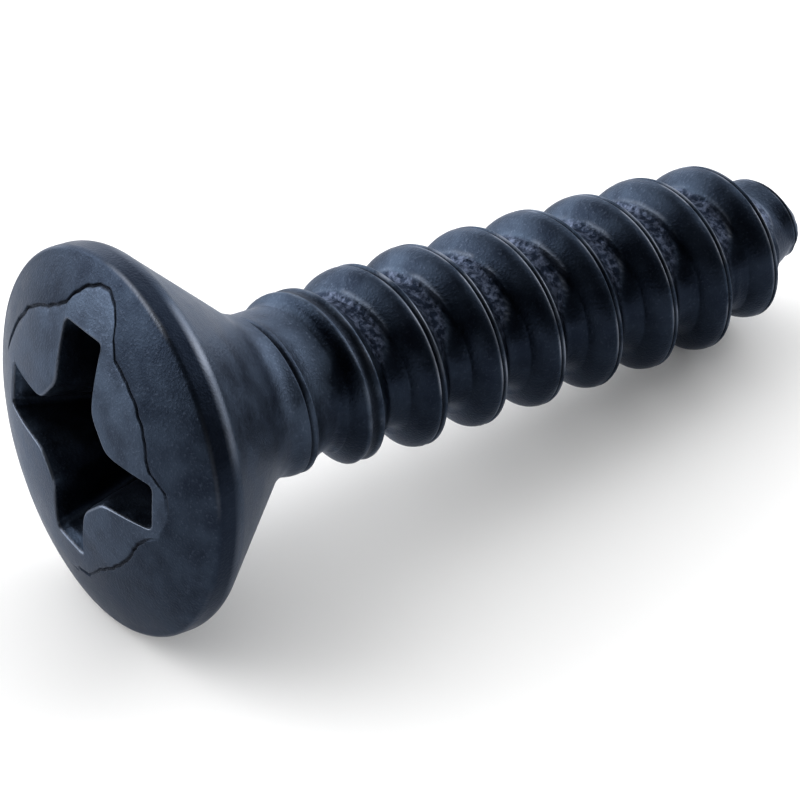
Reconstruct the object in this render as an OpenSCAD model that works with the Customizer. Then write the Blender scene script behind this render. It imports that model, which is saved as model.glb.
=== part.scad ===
// Sheet metal screw, number 6 by 16 mm, cold-headed and thread-rolled in one piece.
// Raised countersunk head with a cross recess, short plain neck, coarse right-hand
// thread and a blunt, rounded point. All sizes are in millimetres.
//
// The screw is drawn upright on its own axis, head down. Stations run along that axis
// from the seat, where the head's rim meets its conical underside, towards the point.
// It is then laid on its side, as it comes to rest on its rim and its thread. The
// origin stays at the seat's centre and the point looks along +X.

/* [Head] */
// Diameter over the rim
head_d = 6.78; // [6.6:0.02:7.2]
// Height of the rim, with the rounded edge
rim_h = 0.44; // [0.36:0.02:0.6]
// Radius that rounds the edge between the rim and the face
rim_round = 0.12; // [0.08:0.02:0.2]
// Rise of the domed face above the rim
dome_h = 0.7; // [0.5:0.05:1]
// Included angle of the conical underside
seat_angle = 82; // [80:1:90]
// Radius that blends the cone into the neck
neck_blend = 1.1; // [0.9:0.1:1.3]

/* [Cross recess] */
// Span from wing end to wing end at the rim's level
recess_span = 3.9; // [3.6:0.1:4.1]
// Width of one wing
wing_w = 0.9; // [0.7:0.05:1]
// Diameter of the round core at the rim's level
core_d = 2.1; // [1.9:0.1:2.3]
// Depth of the recess below the top of the dome
recess_depth = 2; // [1.6:0.1:2.2]
// Slope of the wing ends and the core to the axis
recess_slope = 26.5; // [24:0.5:28]
// Turn of the cross about the axis
recess_turn = -2; // [-45:1:45]

/* [Thread] */
// Diameter over the full crests
crest_d = 3.46; // [3.35:0.01:3.55]
// Diameter of the roots
root_d = 2.5; // [2.4:0.02:2.64]
// Diameter of the plain neck
neck_d = 2.9; // [2.8:0.02:3]
// Distance from one crest to the next
pitch = 1.3; // [1.25:0.01:1.35]
// Width of the flat on a crest
crest_w = 0.1; // [0.06:0.02:0.14]
// Length along the axis of the bulging flank that faces the head
lead_flank = 0.42; // [0.36:0.02:0.46]
// Length along the axis of the hollow flank that faces the point
trail_flank = 0.48; // [0.4:0.02:0.5]
// Station of the helix where it first passes under the axis, inside the head
helix_start = 0.455; // [0.4:0.005:0.5]

/* [Point] */
// Station where the end of the point is reached
shank_l = 14.7; // [14.6:0.1:15]
// Length over which the crests fall to the point
crest_nose = 2.95; // [2.8:0.05:3.1]
// Length over which the roots fall to the point
root_nose = 2.6; // [2.4:0.05:2.7]

/* [Hidden] */
$fn = 96;

head_r = head_d / 2;
neck_r = neck_d / 2;
crest_r = crest_d / 2;
root_r = root_d / 2;

// The dome's sphere passes through the rim's unrounded edge
dome_r = (head_r * head_r + dome_h * dome_h) / (2 * dome_h);
dome_top = -rim_h - dome_h;
dome_centre = dome_top + dome_r;
// Centre of the small radius that touches both the rim and the dome
edge_r = head_r - rim_round;
edge_s = dome_centre - sqrt(pow(dome_r - rim_round, 2) - edge_r * edge_r);
// Unit vector from the dome's centre to the edge radius, as [radius, station]
edge_dir = [edge_r, edge_s - dome_centre] / (dome_r - rim_round);

// Cone and blend: the blend's circle touches the cone and the neck from outside
half_seat = seat_angle / 2;
cone_l = (head_r - neck_r) / tan(half_seat);
blend_s = cone_l + neck_blend * tan(half_seat / 2);
blend_r = neck_r + neck_blend;
// Station where the formed head hands over to the rolled shank
joint_s = cone_l + 0.12;
// At the joint the rolled shank is this much smaller than the head, so no faces
// coincide, and it grows to its own size over the fade
joint_step = 0.03;
joint_fade = 0.3;

// Thread: each turn has steps round it, and its section has a foot, a bulging flank,
// a flat crest and a hollow flank
steps = 30;
flank_steps = 3;
// The leading flank bulges and the trailing flank is hollow, by these powers
lead_power = 2.5;
trail_power = 2;
section = concat(
    [for (i = [0:flank_steps]) lead_point(i / flank_steps)],
    [for (i = [flank_steps:-1:0]) trail_point(i / flank_steps)]);
rows = len(section);
// Run-out at the neck: crests and grooves grow from these stations
runout_s = 2.3;
crest_grow = 3;
groove_grow = 1.1;
crest_start_r = neck_r + 0.02;
// End of the point: a small dome takes over just before the nose closes
end_s = shank_l - 0.12;
end_rise = 0.1;
thread_turns = ceil((end_s - helix_start) / pitch) + 1;
last_step = thread_turns * steps;
// The skin's length past the dome's foot is spread over this much of its quarter circle
over_l = helix_start + pitch * (thread_turns + 1) + crest_w / 2 + trail_flank - end_s;
over_angle = 86;

// Tilt at which the rim and the lowest crest both touch the floor
under_turns = floor((shank_l - crest_nose / 2 - helix_start) / pitch);
rest_tilt = min([for (i = [3:under_turns])
    let (s = helix_start + i * pitch) atan((head_r - crest_at(s)) / s)]);

// Section points, as [distance from the crest along the axis, share of the full height]
function lead_point(x) = [-crest_w / 2 - lead_flank * (1 - x), 1 - pow(1 - x, lead_power)];
function trail_point(x) = [crest_w / 2 + trail_flank * (1 - x), pow(x, trail_power)];

function clamp01(x) = max(0, min(1, x));

// Outline of the point: falls from 1 to 0 along a quarter ellipse of length l
function nose(s, l) = sqrt(1 - pow(clamp01((s - shank_l + l) / l), 2));

// Radius of the plain blank at a station. Inside the head it stays as it is at the joint
function blank_at(s) = blend_r
    - sqrt(pow(neck_blend, 2) - pow(max(0, blend_s - max(s, joint_s)), 2));

// Radius of the crest whose station is s
function crest_at(s) = nose(s, crest_nose)
    * (crest_start_r + (crest_r - crest_start_r) * clamp01((s - runout_s) / crest_grow));

// Radius at the bottom of the groove at station s. g is the crest that the groove follows
function groove_at(s, g) = let (cut = clamp01((g - runout_s) / groove_grow))
    nose(s, root_nose) * (blank_at(s) * (1 - cut) + root_r * cut);

// Radius at station s on the flank of the crest at station c
function thread_r(s, c, point) = let (
        g = point[0] < 0 ? c - pitch : c,
        groove = groove_at(s, g),
        rise = c < runout_s ? 0 : max(0, crest_at(c) - groove))
    groove + rise * point[1] - joint_step * (1 - clamp01((s - joint_s) / joint_fade));

// Point k steps along the helix, on row j of the section
function shank_point(k, j) = let (
        c = helix_start + pitch * k / steps,
        s = c + section[j][0],
        over = over_angle * max(0, s - end_s) / over_l,
        r = thread_r(min(s, end_s), min(c, end_s), section[j]) * cos(over),
        a = 360 * k / steps)
    [r * cos(a), r * sin(a), min(s, end_s) + end_rise * sin(over)];

// Number of a shank point. The row after the last is the next turn's first row
function id(k, j) = j < rows ? k * rows + j : (k + steps) * rows;

// Closed rim of the helical skin at step k: once round the helix, then back down the section
function rim_of(k) = concat(
    [for (i = [0:steps]) id(k + i, 0)],
    [for (j = [rows - 1:-1:1]) id(k, j)]);

// Profile of the head and neck, as [radius, station]
module head_profile() {
    difference() {
        union() {
            intersection() {
                translate([0, dome_centre])
                    circle(r = dome_r, $fn = 360);
                translate([0, dome_top - 1])
                    square([head_r, 1 - dome_top]);
            }
            cone_profile();
        }
        edge_cut();
    }
}

// Material outside the small radius at the edge of the face
module edge_cut() {
    out = 2 * rim_round;
    difference() {
        polygon([
            [edge_r, edge_s],
            [edge_r, edge_s] + out * edge_dir,
            [head_r + out, edge_s - out],
            [head_r + out, edge_s]]);
        translate([edge_r, edge_s])
            circle(r = rim_round);
    }
}

// Conical underside with the concave blend, down to where the shank takes over
module cone_profile() {
    touch = [blend_r - neck_blend * cos(half_seat), blend_s - neck_blend * sin(half_seat)];
    difference() {
        polygon([[0, -rim_h / 2], [head_r, -rim_h / 2], [head_r, 0], touch,
            [blend_r, blend_s], [0, blend_s]]);
        translate([blend_r, blend_s])
            circle(r = neck_blend);
        translate([-1, joint_s])
            square([blend_r + 2, blend_s]);
    }
}

// Head, with the neck's blend
module head() {
    color("#2d323c")
        rotate_extrude()
            head_profile();
}

// Cross recess: two crossed tapered slabs and a conical core, pressed in from the face
module cross_recess() {
    floor_s = dome_top + recess_depth;
    mouth_s = dome_top - 0.2;
    wing_mouth = recess_span / 2 + (-rim_h - mouth_s) * tan(recess_slope);
    wing_floor = recess_span / 2 - (floor_s + rim_h) * tan(recess_slope);
    core_mouth = core_d / 2 + (-rim_h - mouth_s) * tan(recess_slope);
    core_floor = core_d / 2 - (floor_s + rim_h) * tan(recess_slope) / 2;
    color("#0c0e12")
        rotate([0, 0, recess_turn]) {
            for (a = [0, 90])
                rotate([90, 0, a])
                    linear_extrude(height = wing_w, center = true)
                        polygon([[-wing_mouth, mouth_s], [wing_mouth, mouth_s],
                            [wing_floor, floor_s], [-wing_floor, floor_s]]);
            translate([0, 0, mouth_s])
                cylinder(r1 = core_mouth, r2 = core_floor, h = floor_s - mouth_s);
            translate([0, 0, floor_s])
                cylinder(r1 = core_floor, r2 = 0, h = core_floor * tan(90 - 2 * recess_slope));
        }
}

// Rolled shank: one closed helical skin from inside the head to the point
module threaded_shank() {
    near = (last_step + steps + 1) * rows;
    far = near + 1;
    points = concat(
        [for (k = [0:last_step + steps], j = [0:rows - 1]) shank_point(k, j)],
        [[0, 0, helix_start], [0, 0, end_s + end_rise]]);
    skin = [for (k = [0:last_step - 1], j = [0:rows - 1])
        for (half = [[[0, 0], [0, 1], [1, 1]], [[0, 0], [1, 1], [1, 0]]])
            [for (v = half) id(k + v[0], j + v[1])]];
    first = rim_of(0);
    last = rim_of(last_step);
    caps = [for (i = [0:len(first) - 1])
        let (n = (i + 1) % len(first))
            each [[near, first[i], first[n]], [far, last[n], last[i]]]];
    color("#232832")
        polyhedron(points = points, faces = concat(skin, caps), convexity = 12);
}

// The screw, laid on its side
module screw() {
    rotate([0, 90 + rest_tilt, 0]) {
        difference() {
            head();
            cross_recess();
        }
        threaded_shank();
    }
}

screw();
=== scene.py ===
import math

import bpy
import numpy as np
from mathutils import Matrix, Vector


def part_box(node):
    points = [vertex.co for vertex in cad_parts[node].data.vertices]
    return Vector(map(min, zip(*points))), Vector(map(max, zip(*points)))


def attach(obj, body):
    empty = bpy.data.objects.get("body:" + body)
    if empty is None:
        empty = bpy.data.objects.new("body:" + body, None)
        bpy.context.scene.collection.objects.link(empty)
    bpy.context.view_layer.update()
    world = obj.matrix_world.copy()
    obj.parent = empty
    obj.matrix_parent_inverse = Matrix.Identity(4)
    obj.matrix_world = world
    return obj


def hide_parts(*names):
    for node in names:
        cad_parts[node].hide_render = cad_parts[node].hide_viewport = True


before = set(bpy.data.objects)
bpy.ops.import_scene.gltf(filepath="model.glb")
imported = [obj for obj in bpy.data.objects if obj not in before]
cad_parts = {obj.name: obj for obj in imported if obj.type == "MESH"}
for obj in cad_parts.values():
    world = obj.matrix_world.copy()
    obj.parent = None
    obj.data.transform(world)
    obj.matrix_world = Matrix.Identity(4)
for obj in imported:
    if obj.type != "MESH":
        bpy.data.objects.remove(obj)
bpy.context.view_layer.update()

# ---- Sizes of the screw, in millimetres, as in the part's own source ----
HEAD_R = 3.39
RIM_H = 0.44
DOME_H = 0.7
SEAT_HALF_ANGLE = math.radians(41)
NECK_R = 1.45
NECK_BLEND = 1.1
PITCH = 1.3
HELIX_START = 0.455
# The axis dips by this much where the rim and the crests lie on the floor
DIP = math.radians(7.85252)

# Axis towards the point, the way down and the way sideways, in the part's frame
AXIS = np.array([math.cos(DIP), 0.0, -math.sin(DIP)])
DOWN = np.array([-math.sin(DIP), 0.0, -math.cos(DIP)])
SIDE = np.array([0.0, 1.0, 0.0])


def laid(x, y, s):
    """Places of points (down, sideways, station) of the upright screw, in metres, as it lies."""
    points = np.outer(x, DOWN) + np.outer(y, SIDE) + np.outer(s, AXIS)
    return points * 0.001


def smooth_table(x, table):
    """A smooth curve through the table's pairs, with no overshoot between them."""
    tx, ty = np.array(table, float).T
    step = np.diff(ty) / np.diff(tx)
    slope = np.zeros(len(tx))
    same = step[1:] * step[:-1] > 0
    slope[1:-1][same] = 2 * step[1:][same] * step[:-1][same] / (step[1:] + step[:-1])[same]
    slope[-1] = step[-1]
    x = np.clip(x, tx[0], tx[-1])
    i = np.clip(np.searchsorted(tx, x, side="right") - 1, 0, len(tx) - 2)
    w = tx[i + 1] - tx[i]
    t = (x - tx[i]) / w
    return ((1 + 2 * t) * (1 - t) ** 2 * ty[i] + t * (1 - t) ** 2 * w * slope[i]
            + t * t * (3 - 2 * t) * ty[i + 1] + t * t * (t - 1) * w * slope[i + 1])


def ease(x):
    x = np.clip(x, 0, 1)
    return x * x * (3 - 2 * x)


def unevenness(x, y, s, size, seed):
    """Smooth random lumps between -1 and 1, each about size millimetres across."""
    q = np.stack([x, y, s], axis=-1) / size
    cell = np.floor(q)
    f = q - cell
    f = f * f * (3 - 2 * f)
    total = 0.0
    for corner in range(8):
        d = np.array([corner & 1, corner >> 1 & 1, corner >> 2 & 1])
        c = cell + d
        dot = c[..., 0] * 127.1 + c[..., 1] * 311.7 + c[..., 2] * 74.7 + seed * 19.19
        value = np.modf(np.abs(np.sin(dot) * 43758.5453))[0] * 2 - 1
        total = total + value * np.prod(np.where(d, f, 1 - f), axis=-1)
    return total


class Skin:
    """The points, faces and surface marks of one mesh, as they are laid down."""
    MARKS = ("groove_floor", "rubbed_edge", "recess_depth", "pressed", "crack", "thick_oxide")

    def __init__(self):
        self.points = []
        self.marks = {m: [] for m in self.MARKS}
        self.faces = []
        self.count = 0

    def add(self, x, y, s, **marks):
        """Adds points and returns their numbers, in the arrays' own shape."""
        x, y, s = np.broadcast_arrays(x, y, s)
        n = x.size
        self.points.append(laid(x.ravel(), y.ravel(), s.ravel()))
        for m in self.MARKS:
            self.marks[m].append(np.broadcast_to(marks.get(m, 0.0), x.shape).ravel())
        numbers = np.arange(self.count, self.count + n).reshape(x.shape)
        self.count += n
        return numbers

    def quads(self, a, b, c, d):
        """Faces from four arrays of point numbers."""
        self.faces.extend(np.stack([a, b, c, d], axis=-1).reshape(-1, 4).tolist())

    def rings(self, grid):
        """Faces between the closed rings in the grid's rows."""
        turned = np.roll(grid, -1, axis=1)
        self.quads(grid[:-1], turned[:-1], turned[1:], grid[1:])

    def stitch(self, low, low_t, high, high_t):
        """Triangles between two rows of points that have different counts."""
        i = j = 0
        while i < len(low) - 1 or j < len(high) - 1:
            if j == len(high) - 1 or (i < len(low) - 1 and low_t[i + 1] <= high_t[j + 1]):
                self.faces.append((low[i], low[i + 1], high[j]))
                i += 1
            else:
                self.faces.append((low[i], high[j + 1], high[j]))
                j += 1

    def build(self, name):
        mesh = bpy.data.meshes.new(name)
        mesh.from_pydata(np.concatenate(self.points).tolist(), [],
                         [tuple(int(i) for i in f) for f in self.faces])
        for m in self.MARKS:
            mark = mesh.attributes.new(m, "FLOAT", "POINT")
            mark.data.foreach_set("value", np.concatenate(self.marks[m]).astype(np.float32))
        mesh.polygons.foreach_set("use_smooth", np.ones(len(mesh.polygons), bool))
        mesh.validate()
        mesh.update()
        piece = bpy.data.objects.new(name, mesh)
        bpy.context.collection.objects.link(piece)
        return piece


# ---- Underside of the head and the neck ----
BLEND_S = (HEAD_R - NECK_R) / math.tan(SEAT_HALF_ANGLE) + NECK_BLEND * math.tan(SEAT_HALF_ANGLE / 2)
BLEND_FOOT = BLEND_S - NECK_BLEND * math.sin(SEAT_HALF_ANGLE)


def underside(s):
    """Radius of the conical underside, its blend and the plain neck at a station."""
    arc = NECK_R + NECK_BLEND - np.sqrt(NECK_BLEND ** 2 - np.clip(BLEND_S - s, 0, 0.8) ** 2)
    return np.where(s < BLEND_FOOT, HEAD_R - s * math.tan(SEAT_HALF_ANGLE), arc)


# ---- Thread ----
STEPS = 160
# Crest radius by the crest's station: it grows out of the neck and falls to the point
CREST = ((1.6, 1.44), (2.25, 1.46), (2.47, 1.484), (3.04, 1.508), (3.62, 1.60), (4.2, 1.635),
         (4.85, 1.69), (5.51, 1.728), (11.1, 1.728), (11.93, 1.716), (12.59, 1.66),
         (13.25, 1.457), (13.9, 1.16), (14.48, 0.52))
# Root radius by station
ROOT = ((1.6, 1.247), (11.4, 1.247), (12.75, 1.172), (13.58, 0.895), (14.2, 0.64), (14.45, 0.52), (14.6, 0.5))
# Share of the full groove behind the crest at a station, as the dies bite in
BITE = ((1.9, 0), (2.2, 0.0), (2.5, 0.60), (2.9, 0.90), (3.9, 0.97), (4.6, 1.0), (5.5, 1.0))
# Half width of the crest with its two lips: wide where the crest hasn't filled
LIP_SPAN = ((2.3, 0.10), (3.0, 0.11), (3.6, 0.16), (4.2, 0.165), (4.7, 0.12), (5.2, 0.08),
            (6.5, 0.065), (13.0, 0.06), (14.4, 0.03))
# The wide first crest leans towards the head by this much
LIP_LEAN = ((2.9, 0.0), (3.6, -0.07), (4.2, -0.06), (5.2, -0.015), (6.5, 0.0))
# Height of the two lips. The first turn has none: there the dies only left a fine fold
LIP_HEIGHT = ((2.9, 0.0), (3.6, 0.008), (13.6, 0.008), (14.4, 0.0))
# Depth of the seam between the two lips, and its half width as a share of the crest's
SEAM = ((2.3, 0.0), (2.5, 0.04), (3.1, 0.04), (3.6, 0.035), (5.2, 0.04), (6.5, 0.035), (14.4, 0.02))
SEAM_WIDTH = ((2.3, 0.26), (3.0, 0.24), (3.6, 0.55), (5.2, 0.45), (6.5, 0.42))
# Length of the bulging flank by the crest's station
LEAD_FLANK = ((2.3, 0.45), (3.0, 0.40), (3.5, 0.15), (3.85, 0.17), (4.0, 0.30), (4.85, 0.44),
              (5.5, 0.49))
# How much that flank bulges, as a power
BULGE = ((3.0, 1.5), (4.2, 1.5), (5.0, 1.9), (6.5, 2.1))
TRAIL_FLANK = 0.517
# The bulging flank starts from a ridge at this share of its length, above a rough hollow
RIDGE = 0.17
# On the hard side the flank runs out in a long slope. It starts this far before the crest,
# by the angle round the axis in degrees
SLOPE_START = ((0, 0.50), (205, 0.50), (220, 0.57), (235, 0.76), (243, 0.88), (255, 1.02),
               (285, 1.02), (312, 0.62), (335, 0.50), (360, 0.50))
# The section of one pitch starts this far before the crest
SECTION_START = 0.62
LEAD_ROWS = (0, .10, .17, .21, .235, .255, .275, .30, .34, .40, .48, .57, .66, .74, .82, .90, .96)
CREST_ROWS = (-1, -.8, -.6, -.4, -.2, 0, .2, .4, .6, .8, 1)
TRAIL_ROWS = (.04, .10, .18, .28, .40, .53, .66, .79, .90)
ROWS = len(LEAD_ROWS) + len(CREST_ROWS) + len(TRAIL_ROWS)
# Past this station the skin turns over into the end of the point
END_S = 14.45
END_RISE = 0.22


def section_offsets(crest_s):
    """Distance of each row from the crest, for crests at the given stations."""
    half, lean = smooth_table(crest_s, LIP_SPAN), smooth_table(crest_s, LIP_LEAN)
    lead = [-SECTION_START + t * (SECTION_START - half + lean) for t in LEAD_ROWS]
    crest = [lean + t * half for t in CREST_ROWS]
    rest = PITCH - SECTION_START - half - lean
    trail = [lean + half + t * rest for t in TRAIL_ROWS]
    return np.stack(lead + crest + trail, axis=-1)


def thread_skin(skin):
    """The helical skin. Returns its numbers by step and row, and the stations of the first row."""
    first_crest = HELIX_START + PITCH
    turns = math.ceil((END_S - first_crest) / PITCH) + 1
    steps = turns * STEPS
    k = np.arange(steps + STEPS + 1)
    crest_s = first_crest + PITCH * k / STEPS
    u = section_offsets(crest_s)
    c = np.broadcast_to(crest_s[:, None], u.shape)
    half, lean = smooth_table(c, LIP_SPAN), smooth_table(c, LIP_LEAN)
    angle = np.broadcast_to((2 * math.pi * k / STEPS)[:, None], u.shape)
    s_true = c + u
    s = np.minimum(s_true, END_S)
    cc = np.minimum(c, END_S)

    # The steel is worked unevenly, so crests wander a little
    wx, wy = np.cos(angle) * 1.5, np.sin(angle) * 1.5
    wander = unevenness(wx, wy, c, 0.7, 3)

    followed = np.where(u < 0, cc - PITCH, cc)
    bite = smooth_table(followed, BITE)
    plain = underside(s)
    root = smooth_table(s, ROOT)
    groove = plain * (1 - bite) + root * bite
    groove = np.where(s > 12, root, groove)
    # The last turns are a little low on one side
    low_side = 0.5 + 0.5 * np.cos(angle - math.radians(140))
    crest = smooth_table(cc, CREST) + 0.008 * wander - 0.045 * low_side * ease((cc - 8) / 3)
    v = u - lean
    flank_l = smooth_table(c, LEAD_FLANK)
    climb = (v + half + flank_l) / flank_l
    lead = np.clip(climb, 0, 1)
    trail = np.clip(1 - (v - half) / TRAIL_FLANK, 0, 1)
    # One side of the blank, round this angle, was pressed harder than the other
    hard_side = 0.5 + 0.5 * np.cos(angle - math.radians(255))
    # The flank bulges over a foot, steep on the hard side, and its ridge stands where it ends
    flank = 1 - (1 - np.maximum(lead, RIDGE)) ** smooth_table(c, BULGE)
    foot = 0.07 + 0.22 * (1 - hard_side) + 0.4 * (1 - ease((cc - 4.0) / 0.6))
    ahead = np.where(v < 0, -v, PITCH - v)
    next_crest = np.where(v < 0, c, c + PITCH)
    ridge_at = (smooth_table(next_crest, LIP_SPAN)
                + smooth_table(next_crest, LEAD_FLANK) * (1 - RIDGE))
    slope_start = smooth_table(np.degrees(angle) % 360, SLOPE_START)
    slope_at = ridge_at + np.maximum(slope_start - ridge_at, 0.01) * ease((next_crest - 4.2) / 0.8)
    slope = np.clip((slope_at + 0.01 - ahead) / (slope_at + 0.01 - ridge_at), 0, 1) ** 2
    flank = flank * np.maximum(ease((climb - RIDGE + foot) / foot), slope)
    formed = ease((cc - 3.1) / 0.4)
    flank = flank * formed + ease(lead) * (1 - formed)
    behind = np.maximum(trail ** 2, slope * (1 - (1 - RIDGE) ** 2.1) * ease((v - half) / 0.1))
    share = np.where(v < -half, flank, np.where(v > half, behind, 1))
    on_thread = ease((cc - 2.2) / 0.25)
    rise = crest - groove
    r = groove + 0.5 * (rise + np.sqrt(rise ** 2 + 0.04 ** 2)) * share * on_thread

    # Two lips with a seam between them; the seam is painted dark as painted shade
    t = v / half
    lip_rise = smooth_table(cc, LIP_HEIGHT)
    lip_line = np.exp(-((np.abs(t) - 0.72) / 0.26) ** 2)
    seam_shape = np.exp(-(t / smooth_table(cc, SEAM_WIDTH)) ** 4) * on_thread
    r = r - smooth_table(cc, SEAM) * seam_shape + lip_rise * lip_line
    seam_painted_shade = 0.8 * seam_shape

    # The flank's thin wavy ridge, and below it the groove's rough floor
    cut = ease((cc - PITCH - 2.6) / 0.8)
    rough_at = np.maximum(ridge_at, slope_at - 0.02) + 0.012 * unevenness(wx, wy, c, 0.25, 5)
    ridge = np.exp(-((ahead - rough_at + 0.008) / 0.022) ** 2) * ease((cc - 4.0) / 0.5)
    ridge = ridge * hard_side ** 2 * (1 - ease((slope_at - 0.6) / 0.2))
    r = r + 0.012 * ridge
    in_groove = np.where(v < 0, cut, ease((v - half - 0.2) / 0.1) * ease((cc - 2.6) / 0.8))
    floor = ease((ahead - rough_at) / 0.04) * in_groove * ease((14.3 - s_true) / 0.4)
    pits = unevenness(wx, wy, s_true, 0.2, 7) + 0.6 * unevenness(wx, wy, s_true, 0.09, 8)
    r = r + floor * 0.02 * pits
    # Long soft dents on the flanks
    r = r + 0.006 * on_thread * unevenness(wx, wy, s_true, 0.45, 9) * (1 - floor)

    # The lips and the ridge carry wear and a painted highlight, broken up here and there and weaker on the
    # first turns
    worn = ease(0.4 + 1.1 * unevenness(wx, wy, s_true, 0.3, 23))
    worn = worn * (0.4 + 0.6 * ease((cc - 4.2) / 1.0))
    wear_and_highlight = np.clip(lip_line * lip_rise / 0.008 + 0.7 * ridge, 0, 1) * worn

    over = math.radians(87) * np.clip(s_true - END_S, 0, None) / (s_true.max() - END_S)
    over = np.minimum(over * 2.2, math.radians(87))
    past = s_true > END_S
    r = r * np.where(past, np.cos(over), 1)
    s = s + np.where(past, END_RISE * np.sin(over), 0)

    # Painted shade on the bulging flanks, darkest on their hard side
    dark_at = np.maximum(rough_at, slope_start - 0.17)
    shaded_flank = ease((dark_at - ahead) / 0.06) * ease((np.abs(v) - half) / 0.03)
    shaded_flank = shaded_flank * ease((next_crest - 3.3) / 0.4)

    numbers = skin.add(r * np.cos(angle), r * np.sin(angle), s,
                       thick_oxide=0.85 * shaded_flank * hard_side,
                       groove_floor=floor, rubbed_edge=wear_and_highlight, crack=seam_painted_shade,
                       pressed=0.8 * ease((3.4 - s_true) / 0.3) * (1 - shaded_flank))

    wrapped = np.concatenate([numbers[:steps + 1], numbers[STEPS:STEPS + steps + 1, :1]], axis=1)
    a, b = wrapped[:-1], wrapped[1:]
    skin.quads(a[:, :-1], b[:, :-1], b[:, 1:], a[:, 1:])

    # Close the point: a fan over the last turn's rim
    tip = skin.add(0.0, 0.0, END_S + END_RISE)
    rim = [numbers[steps + i, 0] for i in range(STEPS + 1)]
    rim += [numbers[steps, j] for j in range(ROWS - 1, 0, -1)]
    tip_number = int(tip.ravel()[0])
    for i in range(len(rim)):
        skin.faces.append((tip_number, rim[i], rim[(i + 1) % len(rim)]))
    return numbers, s[:STEPS + 1, 0]


# ---- Head ----
FACE_POWER = 2.62
RIM_ROUND = 0.12
# Radius of the worn edge between the rim and the cone
SEAT_ROUND = 0.38
# Between these angles, in degrees, the rim's edges get a painted highlight: by the cone, by the face
BRIGHT_SEAT = (200, 250)
BRIGHT_EDGE = (168, 207)
# Wings of the recess: direction in degrees, reach, half width at the end and at the root
WINGS = ((2, 1.90, 0.43, 0.50), (88, 2.34, 0.44, 0.46), (173, 2.27, 0.57, 0.52),
         (263.5, 2.12, 0.42, 0.52))
CORE_R = 0.98
# The punch sat a little off the head's centre
CORE_SHIFT = 0.1 * np.array([math.cos(math.radians(150)), math.sin(math.radians(150))])
RECESS_SLOPE = math.radians(26.5)
RECESS_FLOOR = 0.72
MOUTH_ROUND = 0.065
# The crack round the recess: angle in degrees, radius, and how open it is
CRACK = ((-10, 2.39, .6), (5, 2.6, 0), (60, 2.72, 0), (95, 2.75, 0), (101, 2.71, .6),
         (117, 2.62, 1), (126, 2.60, 1), (144, 2.46, 1), (151, 2.48, .9), (158, 2.54, 1),
         (163, 2.75, 1), (168, 2.91, 1), (174, 3.04, 1), (179, 3.08, 1), (184, 2.99, 1),
         (188, 2.79, 1), (191, 2.56, 1), (197, 2.34, 1), (205, 2.31, 1), (218, 2.27, 1),
         (228, 2.23, 1), (239, 2.12, 1), (247, 2.16, 1), (251, 2.31, 1), (254, 2.44, .7),
         (264, 2.48, 0), (276, 2.32, 0), (282, 2.08, .6), (290, 1.97, 1), (300, 1.96, 1),
         (314, 1.99, 1), (326, 2.02, 1), (338, 2.10, 1), (350, 2.39, .6))


def face_height(x, y):
    """Station of the domed face, flatter in the middle than at the rim."""
    r = np.hypot(x, y)
    return -RIM_H - DOME_H + DOME_H * (r / HEAD_R) ** FACE_POWER


def recess_gap(x, y, s):
    """Distance outside the recess's outline at a station, less than 0 inside it."""
    depth = s + 0.95
    corner = 0.12
    gaps = [np.hypot(x - CORE_SHIFT[0], y - CORE_SHIFT[1]) - CORE_R + 0.27 * depth]
    for direction, reach, end_half, root_half in WINGS:
        way = math.radians(direction)
        along = x * math.cos(way) + y * math.sin(way)
        across = np.abs(y * math.cos(way) - x * math.sin(way))
        reach = reach - depth * math.tan(RECESS_SLOPE)
        half = root_half + (end_half - root_half) * np.clip(along / reach, 0, 1) - 0.05 * depth
        ex, ey = along - reach + corner, across - half + corner
        outside = np.hypot(np.maximum(ex, 0), np.maximum(ey, 0))
        wing = outside + np.minimum(np.maximum(ex, ey), 0) - corner
        gaps.append(np.where(along < -0.3, 3.0, wing))
    blend = 0.09
    return -blend * np.log(sum(np.exp(-g / blend) for g in gaps))


def recess_radius(angle, s):
    """Radius of the recess's outline along each angle, at a station."""
    low, high = np.full_like(angle, 0.2), np.full_like(angle, 3.2)
    for _ in range(26):
        r = (low + high) / 2
        inside = recess_gap(r * np.cos(angle), r * np.sin(angle), s) < 0
        low, high = np.where(inside, r, low), np.where(inside, high, r)
    return (low + high) / 2


def head_angles(count):
    """Angles of the head's columns, closer together along the wings' sides."""
    fine = np.linspace(0, 2 * math.pi, 7201)
    r = recess_radius(fine, np.full_like(fine, -1.0))
    run = np.hypot(np.diff(r * np.cos(fine)), np.diff(r * np.sin(fine)))
    share = np.concatenate([[0], np.cumsum(run)])
    share = 0.5 * share / share[-1] + 0.5 * fine / fine[-1]
    return np.interp(np.arange(count) / count, share, fine)


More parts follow.
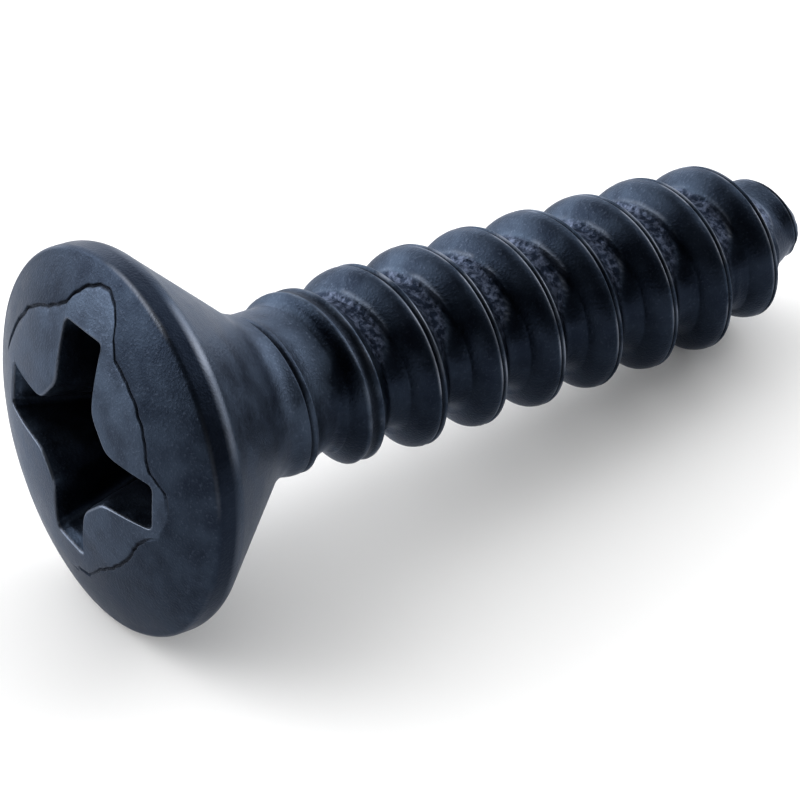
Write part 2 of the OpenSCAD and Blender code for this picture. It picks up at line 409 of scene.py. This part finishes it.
def head_skin(skin, seat_ring):
    """Rim, face and recess, as rings from the seat ring to the bottom of the recess."""
    angle = head_angles(336)
    cos_a, sin_a = np.cos(angle), np.sin(angle)
    wx, wy = cos_a * HEAD_R, sin_a * HEAD_R

    rings = []

    def ring(x, y, s, **marks):
        rings.append(skin.add(x, y, s, **marks))

    # The soft edge between cone and rim, and the rim, which is darkened with painted shade that fades out
    # towards the cone
    swell = 0.012 * unevenness(wx, wy, 0 * wx, 1.1, 11)
    degrees = np.degrees(angle)
    # Wear here and there round the seat edge, and a painted highlight between its angles
    bright = ease((degrees - BRIGHT_SEAT[0]) / 15) * ease((BRIGHT_SEAT[1] - degrees) / 15)
    wear_and_highlight = 0.3 * ease(0.5 + unevenness(wx, wy, 0 * wx, 0.6, 21)) + 0.3 * bright
    tangent = SEAT_ROUND * math.tan(SEAT_HALF_ANGLE / 2)
    for t in (1, 0.83, 0.67, 0.5, 0.33, 0.17, 0):
        a = t * SEAT_HALF_ANGLE
        r = HEAD_R - SEAT_ROUND * (1 - math.cos(a))
        ring(r * cos_a, r * sin_a, SEAT_ROUND * math.sin(a) - tangent + swell * 0.5,
             thick_oxide=1 - t, rubbed_edge=wear_and_highlight * math.sin(math.pi * t))
    for s in (-0.2, -0.26):
        ring(HEAD_R * cos_a, HEAD_R * sin_a, s + swell * 0.5, thick_oxide=1)

    # Small radius between rim and face, with painted shade that lightens a little towards the face, and wear
    # with a painted highlight between its angles
    slope = DOME_H * FACE_POWER / HEAD_R
    lean = math.atan(slope)
    centre_r = HEAD_R - RIM_ROUND
    start = -RIM_H + RIM_ROUND * math.tan((math.pi / 2 - lean) / 2)
    bright = ease((degrees - BRIGHT_EDGE[0]) / 20) * ease((BRIGHT_EDGE[1] - degrees) / 6)
    wear_and_highlight = 0.3 * ease(0.3 + unevenness(wx, wy, 0 * wx, 1.1, 22)) + 0.6 * bright
    for t in np.linspace(0, 1, 7):
        a = t * (math.pi / 2 - lean)
        ring((centre_r + RIM_ROUND * math.cos(a)) * cos_a,
             (centre_r + RIM_ROUND * math.cos(a)) * sin_a,
             start - RIM_ROUND * math.sin(a) + swell, thick_oxide=1 - 0.4 * t,
             rubbed_edge=wear_and_highlight * math.sin(math.pi * t) ** 3)
    outer_r = centre_r + RIM_ROUND * math.cos(math.pi / 2 - lean)
    outer = np.stack([outer_r * cos_a, outer_r * sin_a])
    offset = start - RIM_ROUND * math.sin(math.pi / 2 - lean) - face_height(outer_r, 0)

    table = np.array(CRACK + ((370, 2.5, .1),), float)
    crack_r = np.interp(degrees, table[:, 0], table[:, 1])
    crack_r = crack_r + 0.02 * unevenness(wx, wy, 0 * wx, 0.18, 13)
    crack_open = np.interp(degrees, table[:, 0], table[:, 2])
    crack_line = np.stack([crack_r * cos_a, crack_r * sin_a])
    mouth_s = np.full_like(angle, -0.98)
    for _ in range(4):
        mouth_r = recess_radius(angle, mouth_s)
        mouth = np.stack([mouth_r * cos_a, mouth_r * sin_a])
        mouth_s = face_height(*mouth)
    unit = np.stack([cos_a, sin_a])
    mouth_out = mouth + MOUTH_ROUND * unit

    def face_ring(p, sink=0.0, **marks):
        r = np.hypot(*p)
        s = face_height(*p) + offset * ease((r - 2.6) / 0.6) + swell * ease((r - 2.4) / 0.8)
        s = s + 0.01 * unevenness(p[0], p[1], 0 * p[0], 0.9, 15) + sink
        ring(p[0], p[1], s, **marks)

    # Face outside the crack, darkened with painted shade, the crack, painted black as painted shade, and the
    # pressed face inside it
    for t in np.linspace(0, 1, 18)[1:-1]:
        face_ring(outer + (crack_line + 0.05 * unit - outer) * t, thick_oxide=0.6)
    for d, sink, open_ in ((.05, 0, 0), (.034, .004, .5), (.021, .045, 1), (-.019, .05, 1),
                           (-.033, .016, .5), (-.05, .010, 0)):
        face_ring(crack_line + d * unit, sink * crack_open,
                  crack=open_ * crack_open, pressed=float(d < 0), thick_oxide=0.6 * (d > 0))
    inner = crack_line - 0.05 * unit
    for t in np.linspace(0, 1, 11)[1:]:
        fade = 0.010 * (1 - t)
        face_ring(inner + (mouth_out - inner) * t, fade * crack_open, pressed=1.0)

    # Rolled-over mouth edge, with wear and a painted highlight, and the walls down to the floor, painted
    # darker with depth as painted shade
    top_s = face_height(*mouth) + 0.01 * unevenness(mouth[0], mouth[1], 0 * mouth[0], 0.9, 15)
    for t in (0.25, 0.5, 0.75, 1.0):
        a = t * math.pi / 2
        p = mouth + MOUTH_ROUND * (1 - math.sin(a)) * unit
        ring(p[0], p[1], top_s + MOUTH_ROUND * (1 - math.cos(a)),
             pressed=1 - t, recess_depth=0.1 * t, rubbed_edge=0.35 * (t < 0.8))
    wall_top = top_s + MOUTH_ROUND
    for t in np.linspace(0, 1, 25)[1:]:
        s = wall_top + (RECESS_FLOOR - wall_top) * t
        r = np.minimum(recess_radius(angle, s), mouth_r)
        p = r * unit
        rough = 0.012 * unevenness(p[0], p[1], s, 0.22, 17)
        ring(p[0] + rough * cos_a, p[1] + rough * sin_a, s, recess_depth=0.1 + 0.9 * t)
    floor_r = recess_radius(angle, np.full_like(angle, RECESS_FLOOR))
    for t in (0.86, 0.7, 0.54, 0.38, 0.22, 0.08):
        p = floor_r * t * unit
        lump = 0.015 * unevenness(p[0], p[1], 0 * p[0], 0.25, 18)
        ring(p[0], p[1], RECESS_FLOOR + 0.3 * (1 - t) + lump, recess_depth=1.0)
    grid = np.stack(rings)
    skin.rings(grid)
    bottom = int(skin.add(0.0, 0.0, RECESS_FLOOR + 0.3,
                          recess_depth=1.0).ravel()[0])
    last = grid[-1].tolist()
    for i in range(len(last)):
        skin.faces.append((bottom, last[i], last[(i + 1) % len(last)]))

    # From the seat ring, whose columns are even, to the head's own columns
    first = grid[0].tolist()
    even = [2 * math.pi * i / STEPS for i in range(STEPS + 1)]
    skin.stitch(seat_ring + seat_ring[:1], even,
                first + first[:1], list(angle) + [2 * math.pi])


def cone_skin(skin, thread_numbers, first_s):
    """Cone from the seat ring to the thread skin's first turn. Returns the seat ring."""
    rows = 22
    seat_s = 0.15
    k = np.arange(STEPS + 1)
    angle = (2 * math.pi * k / STEPS)[:, None]
    t = np.linspace(0, 1, rows + 1)[None, :-1]
    s = seat_s + (first_s[:, None] - seat_s) * t
    r = underside(s)
    # The cone gets a little painted shade
    body = skin.add((r * np.cos(angle))[:-1], (r * np.sin(angle))[:-1], s[:-1], pressed=0.8,
                    thick_oxide=0.2)
    grid = np.concatenate([body, thread_numbers[:STEPS, :1]], axis=1)
    a, b = grid[:-1], grid[1:]
    skin.quads(a[:, :-1], b[:, :-1], b[:, 1:], a[:, 1:])
    # The last column meets the first one, which goes on along the thread's first section
    low = grid[-1].tolist()
    low_s = np.append(s[STEPS - 1], first_s[STEPS - 1])
    low_t = (low_s - seat_s) / (low_s[-1] - seat_s)
    section = thread_numbers[0].tolist() + [thread_numbers[STEPS, 0]]
    high = grid[0].tolist() + section[1:]
    crest_s = HELIX_START + PITCH
    section_s = crest_s + section_offsets(np.array([crest_s]))[0]
    high_s = np.concatenate([s[0], section_s, [first_s[STEPS]]])
    high_t = (high_s - seat_s) / (high_s[-1] - seat_s)
    skin.stitch(high, list(high_t), low, list(low_t))
    return grid[:, 0].tolist()


def make_screw():
    skin = Skin()
    numbers, first_s = thread_skin(skin)
    seat_ring = cone_skin(skin, numbers, first_s)
    head_skin(skin, seat_ring)
    piece = skin.build("rolled_screw")
    bpy.context.view_layer.objects.active = piece
    piece.select_set(True)
    bpy.ops.object.mode_set(mode="EDIT")
    bpy.ops.mesh.select_all(action="SELECT")
    bpy.ops.mesh.normals_make_consistent(inside=False)
    bpy.ops.object.mode_set(mode="OBJECT")
    piece.select_set(False)
    return piece


# ---- Finish ----
def linear(code):
    """Linear red, green, blue and alpha of an sRGB hex code."""
    parts = [int(code[i:i + 2], 16) / 255 for i in (1, 3, 5)]
    return [p / 12.92 if p <= 0.04045 else ((p + 0.055) / 1.055) ** 2.4 for p in parts] + [1.0]


def node(tree, kind, settings=None, **inputs):
    """Adds a node. Inputs are values, or sockets to link from."""
    made = tree.nodes.new(kind)
    for key, value in (settings or {}).items():
        setattr(made, key, value)
    for key, value in inputs.items():
        name = key.replace("_", " ")
        socket = made.inputs[int(key[1:])] if key[0] == "i" and key[1:].isdigit() else made.inputs[name]
        if isinstance(value, bpy.types.NodeSocket):
            tree.links.new(value, socket)
        else:
            socket.default_value = value
    return made


def per_size(mm):
    """Texture scale, per metre, for a pattern that repeats each mm millimetres."""
    return 1000.0 / mm


def black_oxide_on_rolled_steel():
    """Cold-formed steel, black oxide from a hot bath and a trace of oil: a dark blue-black satin with a fine
    crystal speckle, greyer with wear and painted highlights on edges, and darker with painted shade."""
    material = bpy.data.materials.new("black_oxide_on_rolled_steel")
    material.use_nodes = True
    tree = material.node_tree
    tree.nodes.clear()
    place = node(tree, "ShaderNodeTexCoord").outputs["Object"]
    mark = {name: node(tree, "ShaderNodeAttribute", {"attribute_name": name}).outputs["Fac"]
            for name in Skin.MARKS}
    # Oxide crystals, drawn coarser than they are so that they show
    crystals = node(tree, "ShaderNodeTexNoise", Vector=place, Scale=per_size(0.05),
                    Detail=3, Roughness=0.6).outputs["Fac"]
    # Uneven bath and rubbing, in clouds of half a millimetre
    clouds = node(tree, "ShaderNodeTexNoise", Vector=place, Scale=per_size(0.5),
                  Detail=4, Roughness=0.55).outputs["Fac"]
    # Torn steel at the bottom of the groove
    pits = node(tree, "ShaderNodeTexNoise", Vector=place, Scale=per_size(0.13),
                Detail=3, Roughness=0.65).outputs["Fac"]
    torn = node(tree, "ShaderNodeMapRange", i0=pits, i1=0.44, i2=0.64).outputs[0]
    torn = node(tree, "ShaderNodeMix", {"data_type": "RGBA"}, i0=torn,
                i6=linear("#1a212e"), i7=linear("#4d5567")).outputs[2]

    # Each layer: what it follows, the range it is read over, how far it covers, its colour
    colour = linear("#1e2530")
    for follows, low, high, cover, over in (
            (clouds, 0.35, 0.65, 1.0, linear("#333d4b")),
            (crystals, 0.56, 0.75, 0.45, linear("#566071")),
            (mark["pressed"], 0, 1, 0.15, linear("#495262")),
            # Painted shade on the flanks, the rim, the face and the cone
            (mark["thick_oxide"], 0, 1, 0.84, linear("#0f141e")),
            (mark["groove_floor"], 0, 1, 1.0, torn),
            # Wear and painted highlights on edges, lips and ridge
            (mark["rubbed_edge"], 0, 1, 0.6, linear("#868c98")),
            # Painted shade, darker deeper in the recess
            (mark["recess_depth"], 0.1, 0.45, 0.7, linear("#20242f")),
            # Painted shade in the crack and in the crests' seam
            (mark["crack"], 0, 1, 1.0, linear("#06070b"))):
        share = node(tree, "ShaderNodeMapRange", i0=follows, i1=low, i2=high, i4=cover).outputs[0]
        colour = node(tree, "ShaderNodeMix", {"data_type": "RGBA"},
                      i0=share, i6=colour, i7=over).outputs[2]

    gloss = node(tree, "ShaderNodeMapRange", i0=clouds, i1=0.3, i2=0.7, i3=0.34, i4=0.44).outputs[0]
    for name, change in (("groove_floor", 0.10), ("rubbed_edge", -0.10), ("thick_oxide", -0.04)):
        gloss = node(tree, "ShaderNodeMath", {"operation": "MULTIPLY_ADD"},
                     i0=mark[name], i1=change, i2=gloss).outputs[0]

    torn_height = node(tree, "ShaderNodeMath", {"operation": "MULTIPLY"},
                       i0=pits, i1=mark["groove_floor"]).outputs[0]
    height = 0.0
    for grain, tall in ((crystals, 0.6), (clouds, 0.25), (torn_height, 1.5)):
        height = node(tree, "ShaderNodeMath", {"operation": "MULTIPLY_ADD"},
                      i0=grain, i1=tall, i2=height).outputs[0]
    bump = node(tree, "ShaderNodeBump", Height=height, Distance=0.00002, Strength=0.7).outputs[0]
    shader = node(tree, "ShaderNodeBsdfPrincipled", Base_Color=colour, Roughness=gloss,
                  Metallic=1.0, Specular_Tint=linear("#dbe0ea"), Normal=bump)
    node(tree, "ShaderNodeOutputMaterial", Surface=shader.outputs[0])
    return material


def matt_white_paper():
    """Seamless background paper: white and without shine."""
    material = bpy.data.materials.new("matt_white_paper")
    material.use_nodes = True
    tree = material.node_tree
    tree.nodes.clear()
    rays = node(tree, "ShaderNodeLightPath").outputs
    seen = 0.0
    for kind in ("Is Camera Ray", "Is Glossy Ray", "Is Transmission Ray"):
        seen = node(tree, "ShaderNodeMath", {"operation": "MAXIMUM"},
                    i0=rays[kind], i1=seen).outputs[0]
    white = node(tree, "ShaderNodeBsdfDiffuse", Color=linear("#ffffff")).outputs[0]
    dull = node(tree, "ShaderNodeBsdfDiffuse", Color=linear("#b4b4b4")).outputs[0]
    mixed = node(tree, "ShaderNodeMixShader", i0=seen, i1=dull, i2=white).outputs[0]
    node(tree, "ShaderNodeOutputMaterial", Surface=mixed)
    return material


# ---- Scene ----
screw = make_screw()
screw.data.materials.append(black_oxide_on_rolled_steel())
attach(screw, "root")
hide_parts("screw")

floor_z = float(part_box("screw")[0][2])


def make_floor():
    mesh = bpy.data.meshes.new("paper")
    w = 3.0
    mesh.from_pydata([(-w, -w, floor_z), (w, -w, floor_z), (w, w, floor_z), (-w, w, floor_z)],
                     [], [(0, 1, 2, 3)])
    paper = bpy.data.objects.new("paper", mesh)
    bpy.context.collection.objects.link(paper)
    paper.data.materials.append(matt_white_paper())


def way_to(azimuth, elevation):
    """Direction towards an azimuth and elevation in degrees. Azimuth 0 is the side at -Y."""
    az, el = math.radians(azimuth), math.radians(elevation)
    return Vector((math.sin(az) * math.cos(el), -math.cos(az) * math.cos(el), math.sin(el)))


# Softboxes round the table: azimuth, elevation and brightness. Most stand behind the screw
SOFTBOXES = ((90, 8, 3.7), (90, 42, 1.8), (135, 8, 1.9), (135, 42, 1.4), (180, 8, 4.8),
             (-135, 8, 5.8), (-135, 42, 2.3), (180, 42, 0.8), (45, 42, 0.3), (0, 75, 0.2))
# Even light of the room itself
ROOM = 0.17


def make_softboxes():
    """A dim room with round softboxes that fade at their edges."""
    world = bpy.data.worlds.new("softboxes")
    bpy.context.scene.world = world
    world.use_nodes = True
    tree = world.node_tree
    tree.nodes.clear()
    way = node(tree, "ShaderNodeTexCoord").outputs["Generated"]
    level = ROOM
    for azimuth, elevation, brightness in SOFTBOXES:
        near = node(tree, "ShaderNodeVectorMath", {"operation": "DOT_PRODUCT"},
                    i0=way, i1=way_to(azimuth, elevation)).outputs["Value"]
        glow = node(tree, "ShaderNodeMapRange", {"interpolation_type": "SMOOTHSTEP"}, i0=near,
                    i1=math.cos(math.radians(38)), i2=math.cos(math.radians(10)),
                    i4=brightness).outputs[0]
        level = node(tree, "ShaderNodeMath", {"operation": "ADD"}, i0=glow, i1=level).outputs[0]
    tent = node(tree, "ShaderNodeBackground", Strength=level).outputs[0]
    node(tree, "ShaderNodeOutputWorld", Surface=tent)


def make_camera():
    """The photograph's camera: it looks down at the head's side of the screw."""
    azimuth, elevation = -35.6, 40.1
    back = way_to(azimuth, elevation)
    right = way_to(azimuth + 90, 0)
    up = back.cross(right)
    data = bpy.data.cameras.new("camera")
    data.sensor_width = 36
    data.lens = 153.07
    data.clip_start = 0.001
    camera = bpy.data.objects.new("camera", data)
    bpy.context.collection.objects.link(camera)
    place = (right * 4.5225 + up * 0.6003 + back * 56.742) * 0.001
    turn = Matrix((right, up, back)).transposed().to_4x4()
    camera.matrix_world = Matrix.Translation(place) @ turn
    bpy.context.scene.camera = camera


make_floor()
make_softboxes()
make_camera()
bpy.context.scene.view_settings.view_transform = "Standard"
